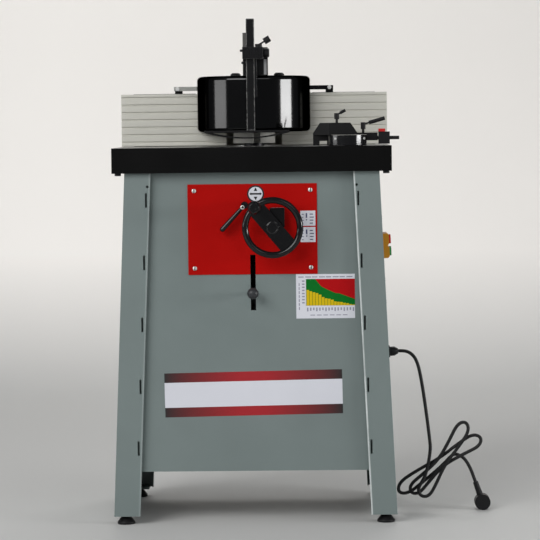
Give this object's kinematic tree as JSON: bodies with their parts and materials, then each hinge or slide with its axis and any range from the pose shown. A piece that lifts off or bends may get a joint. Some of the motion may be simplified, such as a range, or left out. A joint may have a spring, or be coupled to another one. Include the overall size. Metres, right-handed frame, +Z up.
{
  "type": "spindle moulder",
  "caption": "Floor-standing spindle moulder with cast table, grooved fence, curved cutter guard, mitre gauge, height handwheel and splayed sheet-metal stand.",
  "frame": {"origin": "on the floor, straight below the spindle axis", "axes": "+X to the operator's right, -Y towards the operator, +Z up along the spindle"},
  "size_m": [0.8802, 0.6385, 1.166],
  "materials": {
    "stand_paint": "satin grey-green powder coat",
    "table_black": "black enamelled casting",
    "red_paint": "semi-gloss red",
    "black_gloss": "glossy black",
    "black_plastic": "moulded black",
    "black_metal": "black painted metal",
    "grey_plastic": "dark grey ball",
    "aluminium": "anodised extrusion",
    "bright_steel": "ground steel",
    "zinc_steel": "zinc plated",
    "grey_casting": "grey casting",
    "motor_paint": "grey motor paint",
    "pulley_alloy": "turned alloy",
    "bronze": "bronze",
    "belt_rubber": "belt rubber",
    "cord_rubber": "soft black sheath",
    "switch_yellow": "orange-yellow moulding",
    "red_plastic": "red moulding",
    "green_plastic": "green moulding"
  },
  "bodies": {
    "stand": {"left_side_frame": "stand_paint", "right_side_frame": "stand_paint", "front_panel": "stand_paint", "control_plate": "red_paint", "control_plate_screws": "zinc_steel", "rear_panel": "stand_paint", "door_hinge_pins": "zinc_steel", "levelling_feet": "black_metal", "table": "table_black", "table_ring": "bright_steel", "guide_columns": "bright_steel", "column_tie_plate": "grey_casting", "lift_gearbox": "grey_casting", "bolts_and_nuts": "zinc_steel", "shaft_bush": "bright_steel", "position_indicator": "black_plastic", "fence_housing": "aluminium", "fence_brackets": "black_metal", "guard_hood": "black_gloss", "hood_caps": "black_plastic", "pressure_post": "black_metal", "switch_housing": "switch_yellow", "cable_gland": "black_plastic", "mains_cord": "cord_rubber", "cord_hank": "cord_rubber", "cord_tail": "cord_rubber", "mains_plug": "black_plastic"},
    "belt_door": {"belt_door": "stand_paint"},
    "lift_screw": {"lift_screw": "bright_steel"},
    "handwheel": {"handwheel": "black_plastic", "wheel_shaft": "bright_steel"},
    "wheel_handle": {"wheel_handle": "black_plastic"},
    "carriage": {"spindle_carriage": "grey_casting", "spindle_bearings": "bright_steel", "lift_nut": "bronze", "motor": "motor_paint", "drive_belt": "belt_rubber"},
    "spindle": {"spindle": "bright_steel", "spindle_pulley": "pulley_alloy", "cutter_block": "bright_steel", "arbor_collars": "bright_steel"},
    "motor_rotor": {"motor_shaft_and_pulley": "pulley_alloy"},
    "spindle_lock": {"spindle_lock_knob": "grey_plastic"},
    "height_lock": {"height_lock_lever": "black_plastic"},
    "left_board": {"left_fence_board": "aluminium"},
    "right_board": {"right_fence_board": "aluminium"},
    "pressure_bar": {"pressure_bar": "black_metal", "pressure_shoe": "black_metal"},
    "bar_knob": {"bar_clamp_knob": "black_plastic"},
    "bar_lever": {"bar_clamp_lever": "black_plastic"},
    "mitre_slide": {"mitre_bar": "bright_steel"},
    "mitre_head": {"mitre_protractor": "black_gloss", "mitre_head": "black_metal", "mitre_fence": "black_metal"},
    "small_lever": {"mitre_small_lever": "black_plastic"},
    "large_lever": {"mitre_large_lever": "black_plastic"},
    "mitre_stop": {"mitre_stop": "black_plastic", "stop_flag": "red_plastic"},
    "stop_button": {"stop_button": "red_plastic"},
    "start_button": {"start_button": "green_plastic"}
  },
  "joints": [
    {"name": "handwheel_turn", "type": "hinge", "parent": "stand", "child": "handwheel", "pos_m": [0.047, -0.294, 0.686], "axis": [0, 1, 0], "range_deg": [-2160, 5400]},
    {"name": "carriage_lift", "type": "slide", "parent": "stand", "child": "carriage", "axis": [0, 0, 1], "range_m": [-0.03, 0.075]},
    {"name": "lift_screw_turn", "type": "hinge", "parent": "stand", "child": "lift_screw", "pos_m": [0.047, -0.09, 0.55], "axis": [0, 0, 1], "range_deg": [-2160, 5400]},
    {"name": "handle_spin", "type": "hinge", "parent": "handwheel", "child": "wheel_handle", "pos_m": [0.00683, -0.33, 0.73388], "axis": [0, 1, 0], "continuous": true},
    {"name": "spindle_spin", "type": "hinge", "parent": "carriage", "child": "spindle", "pos_m": [0, 0, 0.7], "axis": [0, 0, 1], "continuous": true},
    {"name": "motor_spin", "type": "hinge", "parent": "carriage", "child": "motor_rotor", "pos_m": [0, 0.115, 0.48], "axis": [0, 0, 1], "continuous": true},
    {"name": "spindle_lock_push", "type": "slide", "parent": "carriage", "child": "spindle_lock", "axis": [0, 1, 0], "range_m": [0, 0.009], "stiffness_N_per_m": 400},
    {"name": "height_lock_turn", "type": "hinge", "parent": "stand", "child": "height_lock", "pos_m": [-0.017, -0.265, 0.737], "axis": [0, 1, 0], "range_deg": [-40, 40]},
    {"name": "left_board_slide", "type": "slide", "parent": "stand", "child": "left_board", "axis": [-1, 0, 0], "range_m": [-0.012, 0.04]},
    {"name": "right_board_slide", "type": "slide", "parent": "stand", "child": "right_board", "axis": [1, 0, 0], "range_m": [-0.012, 0.04]},
    {"name": "pressure_bar_slide", "type": "slide", "parent": "stand", "child": "pressure_bar", "axis": [0, 0, 1], "range_m": [-0.012, 0.06]},
    {"name": "bar_knob_turn", "type": "hinge", "parent": "stand", "child": "bar_knob", "pos_m": [0.03, -0.151, 1.0865], "axis": [1, 0, 0], "range_deg": [-180, 180]},
    {"name": "bar_lever_turn", "type": "hinge", "parent": "stand", "child": "bar_lever", "pos_m": [0.0165, -0.151, 1.1], "axis": [0, 0, 1], "range_deg": [-60, 60]},
    {"name": "mitre_slide", "type": "slide", "parent": "stand", "child": "mitre_slide", "axis": [1, 0, 0], "range_m": [-0.4, 0.03]},
    {"name": "mitre_swivel", "type": "hinge", "parent": "mitre_slide", "child": "mitre_head", "pos_m": [0.219, -0.22, 0.88], "axis": [0, 0, 1], "range_deg": [-30, 30]},
    {"name": "small_lever_turn", "type": "hinge", "parent": "mitre_head", "child": "small_lever", "pos_m": [0.196, -0.22, 0.93], "axis": [0, 0, 1], "range_deg": [-90, 90]},
    {"name": "large_lever_turn", "type": "hinge", "parent": "mitre_head", "child": "large_lever", "pos_m": [0.257, -0.192, 0.91], "axis": [0, 0, 1], "range_deg": [-60, 60]},
    {"name": "mitre_stop_slide", "type": "slide", "parent": "mitre_head", "child": "mitre_stop", "axis": [1, 0, 0], "range_m": [0, 0.03]},
    {"name": "stop_button_press", "type": "slide", "parent": "stand", "child": "stop_button", "axis": [-0.999, 0, -0.0441], "range_m": [0, 0.004], "stiffness_N_per_m": 500},
    {"name": "start_button_press", "type": "slide", "parent": "stand", "child": "start_button", "axis": [-0.999, 0, -0.0441], "range_m": [0, 0.004], "stiffness_N_per_m": 500},
    {"name": "belt_door_swing", "type": "hinge", "parent": "stand", "child": "belt_door", "pos_m": [-0.1563, 0.191, 0.5], "axis": [0, 0, 1], "range_deg": [0, 110]}
  ],
  "couplings": [
    {"joint": "handwheel_turn", "follows": "carriage_lift", "rad_per_m": 1256.6},
    {"joint": "lift_screw_turn", "follows": "carriage_lift", "rad_per_m": 1256.6},
    {"joint": "motor_spin", "follows": "spindle_spin", "ratio": 0.76}
  ]
}
